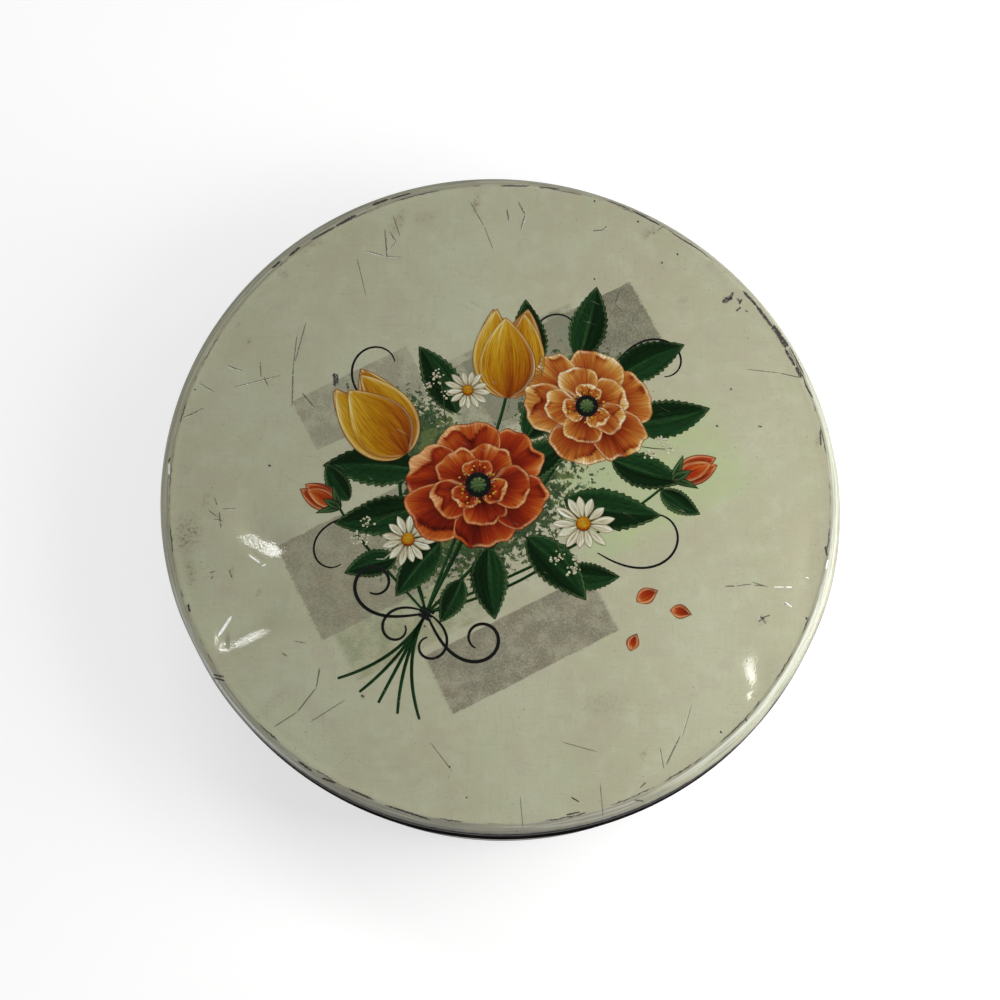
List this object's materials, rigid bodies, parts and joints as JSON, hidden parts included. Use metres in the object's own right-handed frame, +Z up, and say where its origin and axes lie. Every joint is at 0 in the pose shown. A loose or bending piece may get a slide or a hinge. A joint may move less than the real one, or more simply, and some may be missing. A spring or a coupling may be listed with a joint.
{
  "type": "round tin box",
  "caption": "Round tinplate box with a printed slip lid over a straight black wall and a double-seamed base, for keepsakes and papers.",
  "frame": {"origin": "under the middle of the tin, on the plane of the seam that it stands on", "axes": "+Z up along the tin's axis, the way the lid lifts off; -Y towards the viewer's side of the lid's print; the lock seam is at +Y"},
  "size_m": [0.254, 0.254, 0.06],
  "materials": {
    "lid_enamel": "satin",
    "side_enamel": "satin",
    "bare_tinplate": "satin",
    "lid_print": "satin"
  },
  "bodies": {
    "tin_body": {"body_wall": "side_enamel", "base_disc": "bare_tinplate"},
    "lid": {"lid_shell": "lid_enamel"}
  },
  "joints": [
    {"name": "lid_lift", "type": "slide", "parent": "tin_body", "child": "lid", "axis": [0, 0, 1], "range_m": [0, 0.1]}
  ]
}
